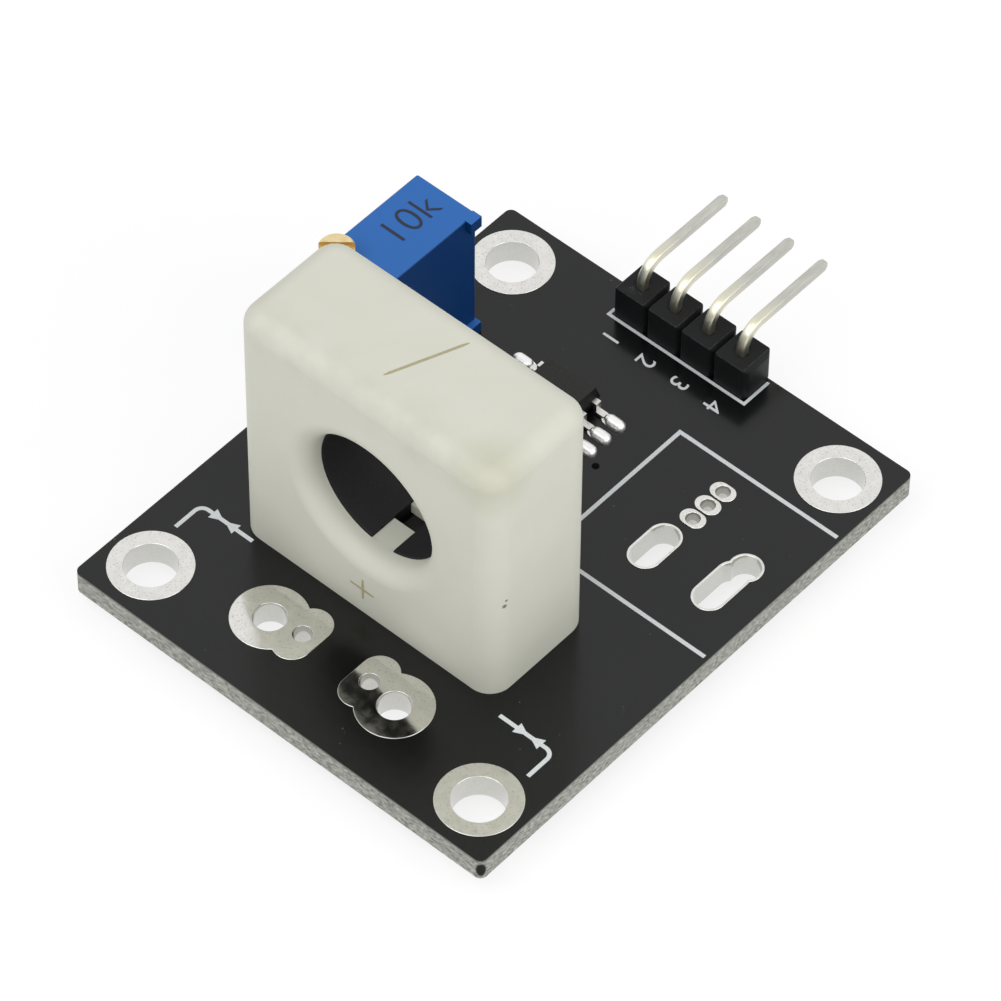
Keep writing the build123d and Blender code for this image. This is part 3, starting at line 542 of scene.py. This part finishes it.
# Natural nylon: milky white.
nylon, tree, shader, place = finish_of("natural_nylon", Roughness=0.5)
mottle(tree, shader, place, 1 * mm, "E2DFD2", "EDEBE2")
dress(nylon, "trimmer_rotor")

# Rolled spring bronze: satin, redder than the brass.
bronze, tree, shader, place = finish_of("rolled_spring_bronze", Metallic=1.0, Roughness=0.3)
mottle(tree, shader, place, 0.3 * mm, "BD9450", "D3B06A")
dress(bronze, "trimmer_wiper")

# Unglazed alumina: chalky white.
alumina, tree, shader, place = finish_of("unglazed_alumina", Roughness=0.7)
mottle(tree, shader, place, fine_grain, "E6E4DC", "F2F1EB")
dress(alumina, "trimmer_element")


# Leads and solder
# Copper leads, tinned all over, and the solder that holds each of them to the board and wets it
# up to the lead.

# Tinned copper: satin silver, a little uneven where the tin flowed.
lead_tin, tree, shader, place = finish_of("tinned_copper_lead", Metallic=1.0)
drawn = mottle(tree, shader, place, 0.3 * mm, "CFCECA", "E6E5E1", detail=1.0)
tree.links.new(add(tree, "ShaderNodeMapRange", {"Value": drawn, "To Min": 0.25, "To Max": 0.38})
               .outputs[0], shader.inputs["Roughness"])
lead_names = ("hall_lead_", "trimmer_pin_", "comparator_lead_")
dress(lead_tin, *[name for name in nodes if name.startswith(lead_names)])

# Reflowed solder: the brightest metal on the board, softly wavy as it froze.
solder, tree, shader, place = finish_of("reflowed_solder", Metallic=1.0)
skin = mottle(tree, shader, place, 0.4 * mm, "EDEDEB", "FAFAF8", detail=1.0)
tree.links.new(add(tree, "ShaderNodeMapRange", {"Value": skin, "To Min": 0.35, "To Max": 0.5})
               .outputs[0], shader.inputs["Roughness"])
tree.links.new(add(tree, "ShaderNodeBump", {"Height": skin, "Distance": 0.006 * mm})
               .outputs["Normal"], shader.inputs["Normal"])
dress(solder, *[name for name in nodes if "solder" in name])


# Comparator
# An eight-lead chip, moulded in black epoxy, which is soldered on the board's top. A covered via
# lies beside it: the mask has run into its hole and left a small pit, which is drawn dark with
# mask that has no gleam, as painted shade.

mould_radius = 0.05 * mm
settle(copy_with_soft_edges("comparator_body", "comparator_moulding", mould_radius), epoxy,
       "black_epoxy", "comparator_body")

# Painted shade in the via's pit: mask with no gleam, so it is blacker than the mask around it.
via_painted_shade, tree, shader, place = finish_of("solder_mask_in_a_pit", Roughness=0.9,
                                          Specular_IOR_Level=0.0)
mottle(tree, shader, place, fine_grain, "090A0A", "191B1A")
via_radius, via_rim, via_sunk = 0.23 * mm, 0.07 * mm, 0.7 * ink
via_middle = (1.47 * mm, 6.94 * mm, board_top + ink / 2)
bpy.ops.object.select_all(action="DESELECT")
bpy.ops.mesh.primitive_cylinder_add(vertices=24, radius=via_radius, depth=ink,
                                    location=via_middle)
via = bpy.context.object
via.name = "covered_via"
bpy.ops.object.transform_apply(location=True)
pick_faces(via, lambda centre, normal: normal.z > 0.9)
bpy.ops.mesh.inset(thickness=via_rim)
bpy.ops.transform.translate(value=(0, 0, -via_sunk))
bpy.ops.object.mode_set(mode="OBJECT")
bpy.ops.object.shade_smooth_by_angle(angle=sharp_angle)
settle(via, via_painted_shade, "board_fibreglass")


# Small chips behind the sensor block
# Ceramic resistors and capacitors and a clear LED, soldered flat on the board. The photograph
# hides them, so their kinds and places are guessed.

# Glazed ceramic: black and fairly glossy.
glaze, tree, shader, place = finish_of("black_glazed_ceramic", Roughness=0.3)
mottle(tree, shader, place, fine_grain, "161618", "242426")
dress(glaze, "resistor_1", "resistor_2")

# Titanate ceramic: tan and matt.
titanate, tree, shader, place = finish_of("tan_titanate_ceramic", Roughness=0.55)
mottle(tree, shader, place, fine_grain, "9C8361", "B59B77")
dress(titanate, "capacitor_1", "capacitor_2")

# Clear cast resin: glossy, and pale from the white base that shows through it.
clear, tree, shader, place = finish_of("clear_cast_resin", Roughness=0.2)
mottle(tree, shader, place, 0.5 * mm, "D6DECF", "E8EDE2")
dress(clear, "indicator_led")


# Pin header
# Four cells of black glass-filled nylon, greyer along their upward-facing top edges, as wear and
# painted highlight, each with a shallow well where its pin was pressed in.

header_nylon, tree, shader, place = finish_of("black_glass_filled_nylon", Roughness=0.5, IOR=1.5,
                                              Specular_IOR_Level=0.2)
fibre_size = 0.15 * mm
fibre = add(tree, "ShaderNodeTexNoise",
            {"Vector": place, "Scale": 1 / fibre_size, "Detail": 4.0}).outputs["Fac"]
plastic = add(tree, "ShaderNodeMix", {0: fibre, 6: linear("0B0C0D"), 7: linear("17181A")},
              data_type="RGBA").outputs[2]
# Wear and painted highlight: the upward-facing rounded top edges are greyer in patches.
edge_lean, lean_either_way = 0.78, 0.17
lit_top_edges = add(tree, "ShaderNodeMath", {0: how_level(tree), 1: edge_lean, 2: lean_either_way},
                  operation="COMPARE").outputs[0]
wear_and_highlight = add(tree, "ShaderNodeMapRange", {"Value": fibre, "From Min": 0.4, "From Max": 0.65,
                                          "To Max": 0.5}).outputs[0]
wear_and_highlight = add(tree, "ShaderNodeMath", {0: wear_and_highlight, 1: lit_top_edges}, operation="MULTIPLY").outputs[0]
tree.links.new(add(tree, "ShaderNodeMix", {0: wear_and_highlight, 6: plastic, 7: linear("4A4C50")},
                   data_type="RGBA").outputs[2], shader.inputs["Base Color"])
tree.links.new(add(tree, "ShaderNodeBump", {"Height": fibre, "Distance": 0.006 * mm})
               .outputs["Normal"], shader.inputs["Normal"])

strip_radius = 0.07 * mm
punch_tip, punch_top, punch_length = 0.42 * mm, 0.78 * mm, 0.4 * mm
strip = copy_with_soft_edges("header_housing", "header_strip", strip_radius, segments=3)
strip_low, strip_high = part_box("header_housing")
for number in range(1, 5):
    pin_low, pin_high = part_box(f"header_pin_{number}")
    well_at = ((pin_low.x + pin_high.x) / 2, (strip_low.y + strip_high.y) / 2, strip_high.z)
    bpy.ops.object.select_all(action="DESELECT")
    bpy.ops.mesh.primitive_cone_add(vertices=32, radius1=punch_tip, radius2=punch_top,
                                    depth=punch_length, location=well_at)
    punch = bpy.context.object
    well = strip.modifiers.new("well", "BOOLEAN")
    well.operation = "DIFFERENCE"
    well.object = punch
    bpy.context.view_layer.objects.active = strip
    bpy.ops.object.modifier_apply(modifier="well")
    bpy.data.objects.remove(punch)
bpy.ops.object.select_all(action="DESELECT")
strip.select_set(True)
smooth_but_level(strip)
settle(strip, header_nylon, "header_nylon", "header_housing")


# Header pins
# Four square brass pins, drawn with rounded corners, tinned, pressed through the strip and bent
# over. The tin is thin and yellowish where the bend has stretched it, and the bend is painted
# lighter as well, as a painted highlight.

pin_tin, tree, shader, place = finish_of("drawn_and_tinned_pin", Metallic=1.0)
draw_mark, pin_radius = 0.25 * mm, 0.13 * mm
bend_starts, bend_ends = 18.6 * mm, 21.0 * mm
drawn = add(tree, "ShaderNodeMapping", {"Vector": place, "Scale": (1, 0.25, 1)}).outputs["Vector"]
drawn = add(tree, "ShaderNodeTexNoise",
            {"Vector": drawn, "Scale": 1 / draw_mark, "Detail": 2.0}).outputs["Fac"]
tin_colour = add(tree, "ShaderNodeMix", {0: drawn, 6: linear("B0B0A9"), 7: linear("D0D0C9")},
                 data_type="RGBA").outputs[2]
along = add(tree, "ShaderNodeSeparateXYZ", {0: place}).outputs["Y"]
# Yellow tint and painted highlight: the colour is paler and yellower along the bend.
bend_tint_and_highlight = add(tree, "ShaderNodeMapRange",
              {"Value": along, "From Min": bend_starts, "From Max": bend_ends,
               "To Min": 0.75, "To Max": 0.0}).outputs[0]
tree.links.new(add(tree, "ShaderNodeMix", {0: bend_tint_and_highlight, 6: tin_colour, 7: linear("E2DEC6")},
                   data_type="RGBA").outputs[2], shader.inputs["Base Color"])
tree.links.new(add(tree, "ShaderNodeMapRange", {"Value": drawn, "To Min": 0.28, "To Max": 0.42})
               .outputs[0], shader.inputs["Roughness"])
for number in range(1, 5):
    pin = copy_with_soft_edges(f"header_pin_{number}", f"bent_pin_{number}", pin_radius, segments=3)
    settle(pin, pin_tin, "pin_tin", f"header_pin_{number}")


# Floor, lamps and camera
# A white table in a white room with large soft lamps, seen as the photograph shows it. The camera
# and mirrors see the table bright, with a soft shadow, and it lights the part as plain paper.

table_span = 4
bpy.ops.object.select_all(action="DESELECT")
bpy.ops.mesh.primitive_plane_add(size=table_span, location=(0, 0, cad_box[0].z))
floor = bpy.context.object
floor.name = "floor"
table_white = bpy.data.materials.new("white_table")
table_white.use_nodes = True
tree = table_white.node_tree
tree.nodes.remove(tree.nodes["Principled BSDF"])


def seen_directly(tree, rays):
    """Whether the camera or a mirror sees the surface."""
    return add(tree, "ShaderNodeMath", {0: rays["Is Camera Ray"], 1: rays["Is Glossy Ray"]},
               operation="MAXIMUM").outputs[0]


seen = seen_directly(tree, add(tree, "ShaderNodeLightPath").outputs)
paper = add(tree, "ShaderNodeBsdfDiffuse", {"Color": linear("F4F4F4")}).outputs[0]
glow = add(tree, "ShaderNodeEmission", {"Color": (1, 1, 1, 1), "Strength": 0.8}).outputs[0]
shaded = add(tree, "ShaderNodeBsdfDiffuse", {"Color": (0.24, 0.24, 0.24, 1)}).outputs[0]
bright_paper = add(tree, "ShaderNodeAddShader", {0: glow, 1: shaded}).outputs[0]
surface = add(tree, "ShaderNodeMixShader", {0: seen, 1: paper, 2: bright_paper}).outputs[0]
tree.links.new(surface, tree.nodes["Material Output"].inputs["Surface"])
floor.data.materials.append(table_white)

room = bpy.data.worlds.new("white_room")
room.use_nodes = True
bpy.context.scene.world = room
tree = room.node_tree
rays = add(tree, "ShaderNodeLightPath").outputs
seen_or_through = add(tree, "ShaderNodeMath", {0: seen_directly(tree, rays),
                                               1: rays["Is Transmission Ray"]},
                      operation="MAXIMUM").outputs[0]
level = add(tree, "ShaderNodeMix", {0: seen_or_through, 2: 0.5, 3: 1.0}).outputs[0]
tree.links.new(level, tree.nodes["Background"].inputs["Strength"])
tree.nodes["Background"].inputs["Color"].default_value = (1, 1, 1, 1)


def lamp(name, azimuth, elevation, power):
    """A square soft lamp that points at the board, azimuth counted from the front to the right."""
    distance, size = 0.45, 0.35
    a, e = radians(azimuth), radians(elevation)
    away = Vector((sin(a) * cos(e), -cos(a) * cos(e), sin(e)))
    bpy.ops.object.light_add(type="AREA", location=away * distance)
    made = bpy.context.object
    made.name = name
    made.rotation_mode = "QUATERNION"
    made.rotation_quaternion = away.to_track_quat("Z", "Y")
    made.data.size = size
    made.data.energy = power


lamp("key_lamp", -10, 58, 0.73)
lamp("side_lamp", 95, 35, 0.62)

# The camera stands where the photographer stood, 383 mm from the middle of the board's top, and a
# little to the right and up, as the photograph is framed.
camera_azimuth, camera_elevation, camera_roll = radians(41.185), radians(50.321), radians(0.531)
camera_distance, camera_right, camera_up = 383.03 * mm, 0.235 * mm, 1.245 * mm
bpy.ops.object.camera_add()
camera = bpy.context.object
forward = Vector((-sin(camera_azimuth) * cos(camera_elevation),
                  cos(camera_azimuth) * cos(camera_elevation), -sin(camera_elevation)))
level_right = Vector((cos(camera_azimuth), sin(camera_azimuth), 0))
level_up = level_right.cross(forward)
right = level_right * cos(camera_roll) + level_up * sin(camera_roll)
up = level_up * cos(camera_roll) - level_right * sin(camera_roll)
turned = Matrix((right, up, -forward)).transposed()
stand = (-forward * camera_distance + right * camera_right + up * camera_up
         + Vector((0, 0, board_top)))
camera.matrix_world = Matrix.Translation(stand) @ turned.to_4x4()
camera.data.sensor_width = 36
camera.data.lens = 240.99
camera.data.clip_start = 0.01
camera.data.clip_end = 20
bpy.context.scene.camera = camera
bpy.context.scene.view_settings.view_transform = "Standard"
